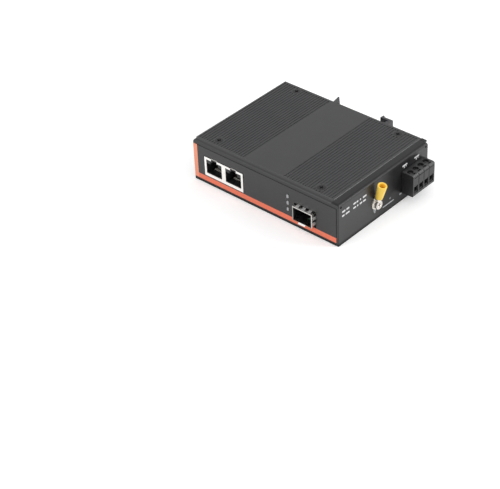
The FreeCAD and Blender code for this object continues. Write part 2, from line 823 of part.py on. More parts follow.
def on_board(name, from_x, x, y, length, width, height):
    """A block standing on the board, its place and size kept in the sheet."""
    mid_x, mid_y = from_x + dim(name + "_x", x), dim(name + "_y", y)
    half_l, half_w = dim(name + "_len", length) / 2, dim(name + "_w", width) / 2
    return block(mid_x - half_l, mid_x + half_l, mid_y - half_w, mid_y + half_w,
                 board_top, board_top + dim(name + "_hgt", height))


def make_chips():
    """Inner electronics, as their main bodies."""
    chips = [on_board("main_chip", screw_mid_x, 0.8, 7.0, 14.0, 14.0, 1.5),
             on_board("memory_chip", screw_mid_x, -23.7, 21.5, 7.0, 7.0, 1.2),
             on_board("supply_chip", cage_mid, -17.95, 8.0, 5.0, 4.0, 1.6)]
    node("board_chips", join(chips, "board_chips"))
    coils = [on_board("transformer_1", jack_mid, -6.9, -14.3, 12.7, 9.5, 5.4),
             on_board("transformer_2", jack_mid, 7.6, -14.3, 12.7, 9.5, 5.4)]
    node("line_transformers", join(coils, "line_transformers"))
    can_r, can_hgt = dim("can_r", 4.0), dim("can_hgt", 10.5)
    can_y, can_pitch = dim("can_y", 30.0), dim("can_pitch", 10.5)
    first = half_len - dim("can_in", 39.5)
    cans = [prism(first + can_pitch * i, can_y, board_top, can_r, can_hgt, 24) for i in range(2)]
    node("capacitors", join(cans, "capacitors"))
    node("power_coil", prism(half_len - dim("coil_in", 24.5), dim("coil_y", 15.0), board_top,
                             dim("coil_r", 6.0), dim("coil_hgt", 5.0), 8))
    node("crystal", on_board("crystal", screw_mid_x, 0.3, -5.8, 11.0, 4.5, 3.5))


# Power terminal

def pole_y(i):
    return term_mid + pole_pitch * (i - 1.5)


def make_header():
    """Moulded header on the board, open towards the terminal end."""
    x0, x1 = half_len - header_dep, half_len + fit_gap
    y0, y1 = term_mid - header_w / 2, term_mid + header_w / 2
    z0, z1 = board_top, board_top + header_hgt
    shell = block(x0, x1, y0, y1, z0, z1)
    tools = [block(x0 + 1.8, x1 + 1.0, y0 + header_wall, y1 - header_wall, z0 + header_wall, z1 - header_wall)]
    gap = 0.02
    mid = z0 + header_hgt / 2
    for i in range(4):
        y = pole_y(i)
        tools.append(block(x0 + pin_back - gap, x0 + 3.0, y - pin_w / 2 - gap, y + pin_w / 2 + gap,
                           mid - pin_w / 2 - gap, mid + pin_w / 2 + gap))
        tools.append(block(x0 + pin_back - gap, x0 + pin_back + pin_w + gap,
                           y - pin_w / 2 - gap, y + pin_w / 2 + gap, z0 - 1.0, mid + pin_w / 2 + gap))
    return node("terminal_header", minus(shell, tools, "terminal_header"))


def make_header_pins():
    """Four bent pins from the board into the header."""
    x0 = half_len - header_dep
    mid = board_top + header_hgt / 2
    made = []
    for i in range(4):
        y = pole_y(i)
        flat = block(x0 + pin_back, x0 + 9.6, y - pin_w / 2, y + pin_w / 2, mid - pin_w / 2, mid + pin_w / 2)
        down = block(x0 + pin_back, x0 + pin_back + pin_w, y - pin_w / 2, y + pin_w / 2, board_low - 1.6, mid)
        made.append(join([flat, down]))
    return node("header_pins", join(made, "header_pins"))


def make_plug():
    """Plug-on screw terminal: body with driver holes, wire entries and label slots."""
    x0, x1 = half_len + fit_gap * 3, half_len + plug_out
    y0, y1 = term_mid - plug_w / 2, term_mid + plug_w / 2
    z1 = plug_low + plug_hgt
    mid = board_top + header_hgt / 2
    body = new_body("terminal_plug")
    sk = sketch_on(body, "x", x0)
    rectangle(sk, y0, y1, plug_low, z1)
    pad(body, sk, x1 - x0)
    top, out = float(z1), float(x1)
    dress(body, "Chamfer", 0.8, lambda e, m: along(e, Y) and m.x > out - 0.1 and m.z > top - 0.1)
    dress(body, "Chamfer", 0.5, lambda e, m: along(e, Y) and m.x > out - 0.1 and m.z < 8)
    # The part that goes into the header, with running room all round
    half = header_w / 2 - header_wall - fit_gap
    sk = sketch_on(body, "x", x0)
    rectangle(sk, term_mid - half, term_mid + half, board_top + header_wall + fit_gap,
              board_top + header_hgt - header_wall - fit_gap)
    pad(body, sk, nose_len, back=True)
    # One pole, then the row of four
    first = pole_y(0)
    cage_gap = 0.08
    sk = sketch_on(body, "z", z1)
    ring(sk, clamp_x, first, driver_r)
    cuts = [pocket(body, sk, driver_deep)]
    clamp_top = clamp_low + clamp_hgt + clamp_lift + 0.1
    way = clamp_screw_r + fit_gap
    sk = sketch_on(body, "z", z1 - driver_deep)
    rectangle(sk, clamp_x - way, clamp_x + way, first - way, first + way)
    cuts.append(pocket(body, sk, z1 - driver_deep - clamp_top + 0.4))
    sk = sketch_on(body, "z", clamp_top)
    rectangle(sk, clamp_x - cage_half - cage_gap, clamp_x + cage_half + cage_gap,
              first - cage_half - cage_gap, first + cage_half + cage_gap)
    cuts.append(pocket(body, sk, clamp_hgt + clamp_lift + 0.2))
    sk = sketch_on(body, "x", x1)
    rectangle(sk, first - entry_w / 2, first + entry_w / 2, mid - entry_w / 2, mid + entry_w / 2)
    cuts.append(pocket(body, sk, x1 - clamp_x))
    frame = entry_w / 2 + entry_frame / 2
    sk = sketch_on(body, "x", x1)
    rectangle(sk, first - frame, first + frame, mid - entry_w / 2 - entry_frame, mid + entry_w / 2 + entry_frame)
    cuts.append(pocket(body, sk, entry_sink))
    sk = sketch_on(body, "x", x1)
    rectangle(sk, first - frame, first + frame, z1 - ledge_down, z1 - ledge_down + face_groove)
    cuts.append(pocket(body, sk, ledge_deep))
    # The contact's channel, from the nose back to the clamp
    sk = sketch_on(body, "x", x0 - 10.0)
    half_way = channel_w / 2
    rectangle(sk, first - half_way, first + half_way, mid - half_way, mid + channel_up)
    cuts.append(pocket(body, sk, clamp_x - x0 + 10.0, back=True))
    sk = sketch_on(body, "z", z1)
    rectangle(sk, x1 - label_in - label_w, x1 - label_in, first - label_len / 2, first + label_len / 2)
    cuts.append(pocket(body, sk, label_deep))
    pattern = body.newObject("PartDesign::LinearPattern", "terminal_plug_poles")
    pattern.Originals = cuts
    line = [f for f in body.Origin.OriginFeatures if f.Role == "Y_Axis"][0]
    pattern.Direction = (line, [""])
    pattern.Occurrences = 4
    bind(pattern, "Length", pole_pitch * 3)
    body.Tip = pattern
    doc.recompute()
    # Grooves between the poles on the outer face
    sk = sketch_on(body, "z", z1)
    groove = first + pole_pitch / 2
    rectangle(sk, x1 - 0.5, x1 + 0.5, groove - face_groove / 2, groove + face_groove / 2)
    cut = pocket(body, sk, z1 - mid - entry_w / 2 - entry_frame)
    repeat(body, cut, "Y", pole_pitch, 3)
    return node("terminal_plug", body)


def make_clamps():
    """The screw and the rising clamp of each pole, and the contact bars."""
    z1 = plug_low + plug_hgt
    bars = []
    mid = board_top + header_hgt / 2
    # The bore's flats clear the screw's corners as it turns
    thread_r = (clamp_screw_r + thread_gap) / math.cos(math.pi / THREAD_SIDES)
    for i in range(4):
        y = pole_y(i)
        tip = mid + 2.42
        seat = z1 - driver_deep + 0.05
        head = rod(clamp_x, y, seat, clamp_head_r, 1.7)
        shank = prism(clamp_x, y, tip, clamp_screw_r, seat + 0.1 - tip, THREAD_SIDES)
        slot = block(clamp_x - 2.0, clamp_x + 2.0, y - 0.25, y + 0.25, seat + 1.0, z1)
        node("clamp_screw_%d" % (i + 1), minus(join([head, shank]), [slot], "clamp_screw"))
        frame = block(clamp_x - cage_half, clamp_x + cage_half, y - cage_half, y + cage_half,
                      clamp_low, clamp_low + clamp_hgt)
        window = block(clamp_x - 3.0, clamp_x + 3.0, y - 1.35, y + 1.35, clamp_low + 0.7,
                       clamp_low + clamp_hgt - 2.0)
        thread = prism(clamp_x, y, clamp_low + 4.0, thread_r, clamp_hgt, THREAD_SIDES)
        node("wire_clamp_%d" % (i + 1), minus(frame, [window, thread], "wire_clamp"))
        x0 = half_len - 8.9
        sleeve = minus(block(x0, x0 + 7.0, y - 1.1, y + 1.1, mid - 1.1, mid + 1.1),
                       [block(x0 - 1.0, x0 + 8.0, y - 0.6, y + 0.6, mid - 0.6, mid + 0.6)])
        rise = block(x0 + 6.6, x0 + 7.4, y - 1.0, y + 1.0, mid + 0.7, mid + 2.4)
        bar = block(x0 + 6.6, clamp_x + cage_half, y - 1.0, y + 1.0, mid + 1.6, mid + 2.4)
        bars.append(join([sleeve, rise, bar]))
    node("plug_contacts", join(bars, "plug_contacts"))


# Earth point

def make_earth():
    """Ring terminal under a screw, its wire sleeve leaning out from the wall."""
    y, z = earth_y, earth_z
    face = half_len
    lean = FreeCAD.Rotation(Y, float(lug_lean))
    foot = FreeCAD.Placement(V(float(face + barrel_out), float(y), float(z + barrel_up)), lean)

    def leaning(obj, up):
        """Puts a round piece on the barrel's axis, starting that far up it."""
        obj.Placement = foot.multiply(FreeCAD.Placement(V(0, 0, float(up)), FreeCAD.Rotation()))
        return obj

    neck_top = z + barrel_up + 1.1
    plate = minus(join([rod(face, y, z, ring_r, ring_t, "x"),
                        block(face, face + ring_t, y - 2.0, y + 2.0, z, neck_top)]),
                  [rod(face - 1.0, y, z, m3_shank + 0.15, 3.0, "x")])
    # A neck joins the barrel's foot to the plate
    neck = block(face, face + 2.6, y - 1.6, y + 1.6, z + barrel_up - 0.2, neck_top)
    behind = block(face - 3.0, face, y - 4.0, y + 4.0, z, z + 9.0)
    outer = leaning(rod(0.0, 0.0, 0.0, barrel_r, barrel_len), 0.0)
    inner = leaning(rod(0.0, 0.0, 0.0, barrel_bore, barrel_len), barrel_floor)
    node("ring_lug", join([plate, minus(join([outer, neck]), [inner, behind])]))
    # The sleeve grips the barrel and widens toward its mouth
    sleeve = leaning(taper(0.0, 0.0, 0.0, sleeve_foot_r, sleeve_r, sleeve_len), sleeve_up)
    bore = leaning(rod(0.0, 0.0, 0.0, barrel_r + press_gap, sleeve_len * 2), 0.0)
    node("lug_sleeve", minus(sleeve, [bore]))
    washer = minus(rod(face + ring_t, y, z, 3.0, 0.5, "x"), [rod(face, y, z, m3_shank + 0.1, 3.0, "x")])
    node("earth_washer", washer)
    seat = face + ring_t + 0.5
    tip = face - nut_h + tip_gap
    screw = join([rod(seat, y, z, 2.8, 2.0, "x"), prism(tip, y, z, m3_shank, seat + 0.1 - tip, THREAD_SIDES, "x")])
    node("earth_screw", minus(screw, cross_slot(seat + 2.0, y, z, cross_w, cross_deep + 0.1, "x")))
    node("earth_nut", minus(prism(face - nut_h, y, z, nut_r, nut_h, HEX, "x"),
                            [prism(face - nut_h - 1, y, z, m3_bore, nut_h + 2, THREAD_SIDES, "x")]))


# Rail clip

def clip_screw_spots():
    z = clip_low + clip_w / 2
    return [(clip_mid - clip_pitch / 2, z), (clip_mid + clip_pitch / 2, z)]


def make_clip():
    """Extruded clip: a plain hook with a ramp, and a deep hook that holds the spring."""
    body = new_body("rail_clip")
    b = half_dep
    slot_right = hook_right - leg_t
    lip_out = lip_deep + lip_t
    points = [(hook_left, b), (hook_right, b), (hook_right, b + lip_out), (16.6, b + lip_out),
              (15.9, b + lip_out + 1.0), (15.0, b + lip_out + 1.0), (14.7, b + lip_deep), (slot_right, b + lip_deep),
              (slot_right, b + clip_t), (hook_left + 2.8, b + clip_t), (hook_left + 2.8, b + 4.7),
              (hook_left + 4.6, b + 4.7), (hook_left + 4.6, b + 5.4), (hook_left - 0.3, b + 10.9),
              (hook_left - 1.2, b + 10.9), (hook_left, b + 4.5)]
    sk = sketch_on(body, "z", clip_low)
    outline(sk, points)
    pad(body, sk, clip_w)
    # The spring's foot sits in a slot of the leg
    sk = sketch_on(body, "z", clip_low + clip_w)
    rectangle(sk, slot_right - 1.0, slot_right + 0.8, b + 6.98, b + 7.62)
    pocket(body, sk, clip_w)
    sk = sketch_on(body, "y", b - 0.5)
    for x, z in clip_screw_spots():
        ring(sk, x, z, m3_hole)
    pocket(body, sk, clip_t + 1.0)
    sink = sketch_on(body, "y", b + clip_t)
    for x, z in clip_screw_spots():
        ring(sink, x, z, csk_r + 0.05)
    pocket(body, sink, csk_h + 0.05, back=True)
    return node("rail_clip", body)


def make_spring():
    """Bent leaf spring in the deep hook."""
    body = new_body("rail_spring")
    b = half_dep
    slot_right = hook_right - leg_t
    points = [(slot_right + 0.75, b + 7.0), (slot_right + 0.75, b + 7.6), (slot_right - 1.6, b + 7.6),
              (slot_right - 6.6, b + 6.0), (slot_right - 7.4, b + 6.6), (slot_right - 7.8, b + 6.2),
              (slot_right - 6.7, b + 5.4), (slot_right - 1.4, b + 7.0)]
    sk = sketch_on(body, "z", clip_low + 2.0)
    outline(sk, points)
    pad(body, sk, clip_w - 4.0)
    return node("rail_spring", body)


def make_clip_fixings():
    """The clip's sunk cheese-head screws and their press-in nuts, flush with the rear face."""
    screws, nuts = [], []
    b = half_dep
    tip = b - nut_h + tip_gap
    for x, z in clip_screw_spots():
        head = rod(x, b + clip_t - csk_h, z, csk_r, csk_h, "y")
        shank = prism(x, tip, z, m3_shank, b + clip_t - csk_h + 0.1 - tip, THREAD_SIDES, "y")
        screws.append(minus(join([head, shank]), cross_slot(x, b + clip_t, z, cross_w, cross_deep, "y")))
        nuts.append(minus(prism(x, b - nut_h, z, nut_r, nut_h, HEX, "y"),
                          [prism(x, b - nut_h - 1, z, m3_bore, nut_h + 2, THREAD_SIDES, "y")]))
    node("clip_screws", join(screws, "clip_screws"))
    node("clip_nuts", join(nuts, "clip_nuts"))


make_case_tray()
make_top_cover()
make_front_film()
make_cover_screws()
make_cover_nuts()
make_board()
make_posts()
make_board_screws()
make_jack_shield()
make_jack_housing()
make_jack_contacts()
make_cage()
make_collar()
make_edge_connector()
make_lamps()
make_chips()
make_header()
make_header_pins()
make_plug()
make_clamps()
make_earth()
make_clip()
make_spring()
make_clip_fixings()
doc.recompute()

# Every object is checked before anything is written
faults = []
for obj in doc.Objects:
    if "Invalid" in obj.State or "Error" in obj.State:
        faults.append("%s (%s) is %s" % (obj.Label, obj.TypeId, obj.State))
for name, obj in nodes:
    if obj.Shape.isNull() or not obj.Shape.isValid() or not obj.Shape.Solids:
        faults.append("%s has no valid solid" % name)
if faults:
    raise RuntimeError("; ".join(faults))
for name, obj in nodes:
    obj.Shape.exportStep("parts/%s.step" % name)
    box = obj.Shape.BoundBox
    print("%-18s solids %2d  x %7.2f %7.2f  y %7.2f %7.2f  z %6.2f %6.2f  volume %8.1f" % (
        name, len(obj.Shape.Solids), box.XMin, box.XMax, box.YMin, box.YMax, box.ZMin, box.ZMax, obj.Shape.Volume))
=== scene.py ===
import json
import math

import bmesh
import bpy
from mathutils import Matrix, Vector


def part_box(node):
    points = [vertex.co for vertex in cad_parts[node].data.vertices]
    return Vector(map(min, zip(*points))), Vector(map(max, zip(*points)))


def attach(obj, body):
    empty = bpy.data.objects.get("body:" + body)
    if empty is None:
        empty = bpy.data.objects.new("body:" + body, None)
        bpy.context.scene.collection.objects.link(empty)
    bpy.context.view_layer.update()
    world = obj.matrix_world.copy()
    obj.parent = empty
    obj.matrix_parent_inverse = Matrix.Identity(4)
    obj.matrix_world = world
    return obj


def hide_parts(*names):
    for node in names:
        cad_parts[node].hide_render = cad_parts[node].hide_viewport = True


# Looks of the fibre media converter: its finishes, the pieces modelled here, camera, floor and light

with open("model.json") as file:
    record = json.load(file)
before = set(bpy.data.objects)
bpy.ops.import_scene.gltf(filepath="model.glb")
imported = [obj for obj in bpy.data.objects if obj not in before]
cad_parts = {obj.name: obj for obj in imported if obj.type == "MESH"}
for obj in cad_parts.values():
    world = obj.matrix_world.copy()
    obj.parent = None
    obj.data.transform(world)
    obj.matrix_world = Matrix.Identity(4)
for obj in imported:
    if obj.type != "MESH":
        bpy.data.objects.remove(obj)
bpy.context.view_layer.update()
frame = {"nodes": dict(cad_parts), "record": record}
bpy.context.scene.view_settings.view_transform = "Standard"
MM = 0.001


def corners(node):
    """Lowest and highest corner of a node at rest, in millimetres."""
    low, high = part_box(node)
    return low / MM, high / MM


TRAY_LOW, TRAY_HIGH = corners("case_tray")
CAGE_LOW, CAGE_HIGH = corners("fibre_cage")
PLUG_LOW, PLUG_HIGH = corners("terminal_plug")
FILM_LOW = corners("front_film")[0]
CONTACTS_LOW = corners("jack_contacts")[0]
COVER_HIGH = corners("top_cover")[1]


# Helpers for node materials

# Most of a noise texture's values lie between these
NOISE_LOW, NOISE_HIGH = 0.3, 0.7
FINE_DETAIL = 3.0
# How far the roughness of a plain finish goes down and up from its value
ROUGH_DOWN, ROUGH_UP = 0.85, 1.15
EDGE_SAMPLES = 6


def new_material(name):
    """An empty node material with its shader and output joined."""
    mat = bpy.data.materials.new(name)
    mat.use_nodes = True
    tree = mat.node_tree
    tree.nodes.clear()
    shader = tree.nodes.new("ShaderNodeBsdfPrincipled")
    out = tree.nodes.new("ShaderNodeOutputMaterial")
    tree.links.new(shader.outputs["BSDF"], out.inputs["Surface"])
    return mat, tree, shader


def place_on(tree, stretch=(1.0, 1.0, 1.0)):
    """Object coordinates, stretched."""
    coords = tree.nodes.new("ShaderNodeTexCoord")
    mapping = tree.nodes.new("ShaderNodeMapping")
    mapping.inputs["Scale"].default_value = stretch
    tree.links.new(coords.outputs["Object"], mapping.inputs["Vector"])
    return mapping.outputs["Vector"]


def noise(tree, where, grain_mm, detail=2.0):
    """Noise whose grain has the given size in millimetres."""
    node = tree.nodes.new("ShaderNodeTexNoise")
    node.inputs["Scale"].default_value = 1.0 / (grain_mm * MM)
    node.inputs["Detail"].default_value = detail
    tree.links.new(where, node.inputs["Vector"])
    return node.outputs["Fac"]


def shade(colour, factor):
    """The colour made darker or lighter."""
    return tuple(min(1.0, c * factor) for c in colour)


def tones(tree, factor, dark, light):
    """A colour that runs from dark to light with the noise."""
    ramp = tree.nodes.new("ShaderNodeValToRGB")
    for element, place, colour in zip(ramp.color_ramp.elements, (NOISE_LOW, NOISE_HIGH), (dark, light)):
        element.position = place
        element.color = (*colour, 1.0)
    tree.links.new(factor, ramp.inputs["Fac"])
    return ramp.outputs["Color"]


def varied(tree, factor, colour, down, up):
    """One colour, darker and lighter with the noise."""
    return tones(tree, factor, shade(colour, down), shade(colour, up))


def ramp_to(tree, value, ends, results):
    """A number that runs from the first result to the second between two values of the socket."""
    node = tree.nodes.new("ShaderNodeMapRange")
    node.inputs["From Min"].default_value, node.inputs["From Max"].default_value = ends
    node.inputs["To Min"].default_value, node.inputs["To Max"].default_value = results
    tree.links.new(value, node.inputs["Value"])
    return node.outputs["Result"]


def spread(tree, factor, low, high):
    """A number between low and high that follows the noise."""
    return ramp_to(tree, factor, (NOISE_LOW, NOISE_HIGH), (low, high))


def ramp_mm(tree, value, ends, results):
    """A number that runs from the first result to the second between two places in millimetres."""
    return ramp_to(tree, value, [end * MM for end in ends], results)


def maths(tree, kind, a, b):
    """One sum on two sockets or numbers."""
    node = tree.nodes.new("ShaderNodeMath")
    node.operation = kind
    for i, value in enumerate((a, b)):
        if isinstance(value, (int, float)):
            node.inputs[i].default_value = value
        else:
            tree.links.new(value, node.inputs[i])
    return node.outputs["Value"]


def within(tree, value, limits):
    """One between two limits in millimetres, nought outside them."""
    low, high = limits
    above = maths(tree, "GREATER_THAN", value, low * MM)
    return maths(tree, "MULTIPLY", above, maths(tree, "LESS_THAN", value, high * MM))


def axes(tree, where):
    """The x, y and z of a place, as three sockets."""
    parts = tree.nodes.new("ShaderNodeSeparateXYZ")
    tree.links.new(where, parts.inputs["Vector"])
    return parts.outputs["X"], parts.outputs["Y"], parts.outputs["Z"]


def inside_box(tree, where, box):
    """One inside a box given by its limits in x, y and z, nought outside it."""
    inside = None
    for socket, limits in zip(axes(tree, where), box):
        part = within(tree, socket, limits)
        inside = part if inside is None else maths(tree, "MULTIPLY", inside, part)
    return inside


def blend(tree, factor, first, second):
    """The first colour where the factor is nought, the second where it is one."""
    mix = tree.nodes.new("ShaderNodeMix")
    mix.data_type = "RGBA"
    tree.links.new(factor, mix.inputs["Factor"])
    tree.links.new(first, mix.inputs["A"])
    tree.links.new(second, mix.inputs["B"])
    return mix.outputs["Result"]


def bump(tree, shader, height, depth_mm, edge_mm=0.0):
    """A fine relief; with an edge radius, sharp edges also catch the light as round ones do."""
    node = tree.nodes.new("ShaderNodeBump")
    node.inputs["Distance"].default_value = depth_mm * MM
    tree.links.new(height, node.inputs["Height"])
    if edge_mm:
        bevel = tree.nodes.new("ShaderNodeBevel")
        bevel.samples = EDGE_SAMPLES
        bevel.inputs["Radius"].default_value = edge_mm * MM
        tree.links.new(bevel.outputs["Normal"], node.inputs["Normal"])
    tree.links.new(node.outputs["Normal"], shader.inputs["Normal"])


# Kinds of finish

def surface(name, colour, rough, grain_mm, deep_mm, vary, metal=0.0, blotch_mm=14.0, specular=0.5,
            stretch=(1.0, 1.0, 1.0), edge_mm=0.0):
    """A finish with slow tone changes, uneven gloss and a fine grain."""
    mat, tree, shader = new_material(name)
    where = place_on(tree, stretch)
    slow = noise(tree, where, blotch_mm)
    fine = noise(tree, where, grain_mm, FINE_DETAIL)
    tree.links.new(varied(tree, slow, colour, 1 - vary, 1 + vary), shader.inputs["Base Color"])
    tree.links.new(spread(tree, fine, rough * ROUGH_DOWN, rough * ROUGH_UP), shader.inputs["Roughness"])
    shader.inputs["Metallic"].default_value = metal
    shader.inputs["Specular IOR Level"].default_value = specular
    bump(tree, shader, fine, deep_mm, edge_mm)
    return mat


TONED_BLOTCH_MM, TONED_GRAIN_MM, TONED_DEEP_MM, TONED_VARY = 4.0, 0.4, 0.004, 0.06


def toned(name, colour, fields, rough, metal, edge_mm=0.0):
    """A finish whose tone changes inside each field's box, which here holds painted light or shade."""
    mat, tree, shader = new_material(name)
    where = place_on(tree)
    slow = noise(tree, where, TONED_BLOTCH_MM)
    fine = noise(tree, where, TONED_GRAIN_MM, FINE_DETAIL)
    down, up = 1 - TONED_VARY, 1 + TONED_VARY
    here = varied(tree, slow, colour, down, up)
    for box, tone in fields:
        here = blend(tree, inside_box(tree, where, box), here, varied(tree, slow, tone, down, up))
    tree.links.new(here, shader.inputs["Base Color"])
    tree.links.new(spread(tree, fine, rough * ROUGH_DOWN, rough * ROUGH_UP), shader.inputs["Roughness"])
    shader.inputs["Metallic"].default_value = metal
    bump(tree, shader, fine, TONED_DEEP_MM, edge_mm)
    return mat


# Plain finishes, one for each material that is the same all over its piece

# Scale of the pattern in x, y and z: above one the grain is shorter that way, below one longer
PRESSED_GRAIN = (1, 1, 5)
EXTRUDED_GRAIN = (1, 1, 0.1)
ROLLED_GRAIN = (1, 1, 0.2)

PLAIN_FINISHES = {
    "black_screw": dict(colour=(0.012, 0.012, 0.013), rough=0.34, grain_mm=0.5, deep_mm=0.010, vary=0.20,
                        metal=0.3, blotch_mm=3.0, specular=0.4, edge_mm=0.15),
    "steel": dict(colour=(0.76, 0.72, 0.68), rough=0.24, grain_mm=0.4, deep_mm=0.006, vary=0.08,
                  metal=1.0, blotch_mm=2.5, edge_mm=0.6),
    "screw_dark": dict(colour=(0.13, 0.13, 0.13), rough=0.40, grain_mm=0.4, deep_mm=0.006, vary=0.20,
                       metal=0.8, blotch_mm=2.0),
    "shield_metal": dict(colour=(0.94, 0.93, 0.90), rough=0.30, grain_mm=0.5, deep_mm=0.004, vary=0.05,
                         metal=1.0, blotch_mm=5.0, stretch=PRESSED_GRAIN),
    "finger_metal": dict(colour=(0.96, 0.95, 0.93), rough=0.26, grain_mm=0.4, deep_mm=0.004, vary=0.06,
                         metal=1.0, blotch_mm=3.0),
    "brass_plated": dict(colour=(0.88, 0.85, 0.78), rough=0.27, grain_mm=0.4, deep_mm=0.005, vary=0.08,
                         metal=1.0, blotch_mm=2.0, edge_mm=0.2),
    "clip_metal": dict(colour=(0.030, 0.030, 0.034), rough=0.36, grain_mm=0.5, deep_mm=0.010, vary=0.10,
                       blotch_mm=8.0, stretch=EXTRUDED_GRAIN),
    "spring_steel": dict(colour=(0.45, 0.45, 0.45), rough=0.32, grain_mm=0.4, deep_mm=0.004, vary=0.10,
                         metal=1.0, blotch_mm=3.0, stretch=ROLLED_GRAIN),
    "can_metal": dict(colour=(0.55, 0.55, 0.56), rough=0.35, grain_mm=0.5, deep_mm=0.005, vary=0.10,
                      metal=1.0),
    "ferrite": dict(colour=(0.05, 0.048, 0.046), rough=0.70, grain_mm=0.5, deep_mm=0.020, vary=0.20),
    "board_green": dict(colour=(0.02, 0.10, 0.05), rough=0.35, grain_mm=0.6, deep_mm=0.010, vary=0.25),
    "black_moulding": dict(colour=(0.012, 0.012, 0.013), rough=0.42, grain_mm=0.3, deep_mm=0.006, vary=0.20),
    "chip_black": dict(colour=(0.02, 0.02, 0.02), rough=0.55, grain_mm=0.2, deep_mm=0.006, vary=0.20),
    "terminal_plastic": dict(colour=(0.016, 0.016, 0.017), rough=0.38, grain_mm=0.25, deep_mm=0.008,
                             vary=0.12, edge_mm=0.15),
    "sleeve_yellow": dict(colour=(1.0, 0.67, 0.10), rough=0.36, grain_mm=0.6, deep_mm=0.010, vary=0.03,
                          blotch_mm=3.0),
    "sleeve_inside": dict(colour=(0.98, 0.60, 0.05), rough=0.50, grain_mm=0.5, deep_mm=0.010, vary=0.06),
    "sign_white": dict(colour=(0.70, 0.70, 0.71), rough=0.50, grain_mm=0.3, deep_mm=0.004, vary=0.10,
                       blotch_mm=1.5),
    "sign_pale": dict(colour=(0.42, 0.43, 0.45), rough=0.50, grain_mm=0.3, deep_mm=0.004, vary=0.10,
                      blotch_mm=1.5),
    "sign_grey": dict(colour=(0.22, 0.22, 0.24), rough=0.50, grain_mm=0.3, deep_mm=0.004, vary=0.15,
                      blotch_mm=1.5),
}
materials = {name: surface(name, **look) for name, look in PLAIN_FINISHES.items()}


# Satin coat of the tray and the cover, with painted shade (darker or less glossy places) and painted light
# (lighter groove floors)

COAT = (0.020, 0.020, 0.021)
COAT_ROUGH = (0.29, 0.39)
COAT_BLOTCH_MM, COAT_GRAIN_MM, COAT_DEEP_MM, COAT_VARY = 14.0, 0.32, 0.009, 0.08
PLAIN_GLOSS = 0.5

# A box is its limits in x, y and z, in millimetres. It reaches a little beyond the faces that it takes in.
OVER = 1.0
WHOLE_X = (TRAY_LOW.x - OVER, TRAY_HIGH.x + OVER)
WHOLE_Y = (TRAY_LOW.y - OVER, TRAY_HIGH.y + OVER)
# Painted shade: the flange beside the cover is coloured darker and made less glossy.
FLANGE = ((COVER_HIGH.x, TRAY_HIGH.x + OVER), WHOLE_Y, (TRAY_HIGH.z - 0.8, TRAY_HIGH.z + OVER))
FLANGE_SHADE_TONE = (0.016, 0.016, 0.017)
FLANGE_SHADE_GLOSS = 0.22
# Painted light: the floors of the cover's grooves are coloured lighter than its ribs.
GROOVE_FLOORS = (WHOLE_X, WHOLE_Y, (COVER_HIGH.z - 0.7, COVER_HIGH.z - 0.05))
GROOVE_PAINTED_LIGHT = (0.064, 0.064, 0.066)

# Painted shade: the terminal-end wall's gloss is lowered from the earth point to the plug, and more so in
# its upper part.
# Each pair is where a change begins and ends: y along the wall, and z for the heights.
WALL_BEYOND = TRAY_HIGH.x - 2.5
WALL_SHADE = 0.62
WALL_SHADE_GROWS = (-14.0, 0.0)
WALL_DEEPER_SHADE = 0.28
WALL_DEEPER_SHADE_GROWS = (1.0, 9.0)
WALL_DEEPER_SHADE_HEIGHT = (9.0, 12.0)
WALL_SHADE_FADES = (24.0, 33.0)
WALL_BEND_HEIGHT = (27.6, 28.6)
# Painted shade along the foot: its gloss is lowered toward the floor.
FOOT_SHADE = 0.85
FOOT_HEIGHT = (0.9, 2.8)


def gloss_with_painted_shade(tree, where):
    """One over most of the tray; less where shade is painted into the gloss: on the wall from the earth
    point to the plug, and along the foot.
    """
    x, y, z = axes(tree, where)
    # Painted shade on the wall between the earth point and the plug, deeper in its upper part
    dull = ramp_mm(tree, y, WALL_SHADE_GROWS, (0.0, WALL_SHADE))
    darker = ramp_mm(tree, y, WALL_DEEPER_SHADE_GROWS, (0.0, WALL_DEEPER_SHADE))
    upper = ramp_mm(tree, z, WALL_DEEPER_SHADE_HEIGHT, (0.0, 1.0))
    dull = maths(tree, "ADD", dull, maths(tree, "MULTIPLY", darker, upper))
    not_past_plug = ramp_mm(tree, y, WALL_SHADE_FADES, (1.0, 0.0))
    below_bend = ramp_mm(tree, z, WALL_BEND_HEIGHT, (1.0, 0.0))
    on_wall = maths(tree, "MULTIPLY", below_bend, maths(tree, "GREATER_THAN", x, WALL_BEYOND * MM))
    wall = maths(tree, "MULTIPLY", maths(tree, "MULTIPLY", dull, not_past_plug), on_wall)
    # Painted shade along the foot
    foot = ramp_mm(tree, z, FOOT_HEIGHT, (FOOT_SHADE, 0.0))
    return maths(tree, "SUBTRACT", 1.0, maths(tree, "MAXIMUM", wall, foot))


def coat_material(name, box, tone):
    """Satin black coat with another tone inside the box; also gives its nodes and the box's factor."""
    mat, tree, shader = new_material(name)
    where = place_on(tree)
    slow = noise(tree, where, COAT_BLOTCH_MM)
    fine = noise(tree, where, COAT_GRAIN_MM, FINE_DETAIL)
    down, up = 1 - COAT_VARY, 1 + COAT_VARY
    inside = inside_box(tree, where, box)
    colour = blend(tree, inside, varied(tree, slow, COAT, down, up), varied(tree, slow, tone, down, up))
    tree.links.new(colour, shader.inputs["Base Color"])
    tree.links.new(spread(tree, fine, *COAT_ROUGH), shader.inputs["Roughness"])
    bump(tree, shader, fine, COAT_DEEP_MM)
    return mat, tree, shader, where, inside


def cover_material():
    """Coat of the cover, with painted light on the floors of its grooves, which are coloured lighter."""
    return coat_material("cover_paint", GROOVE_FLOORS, GROOVE_PAINTED_LIGHT)[0]


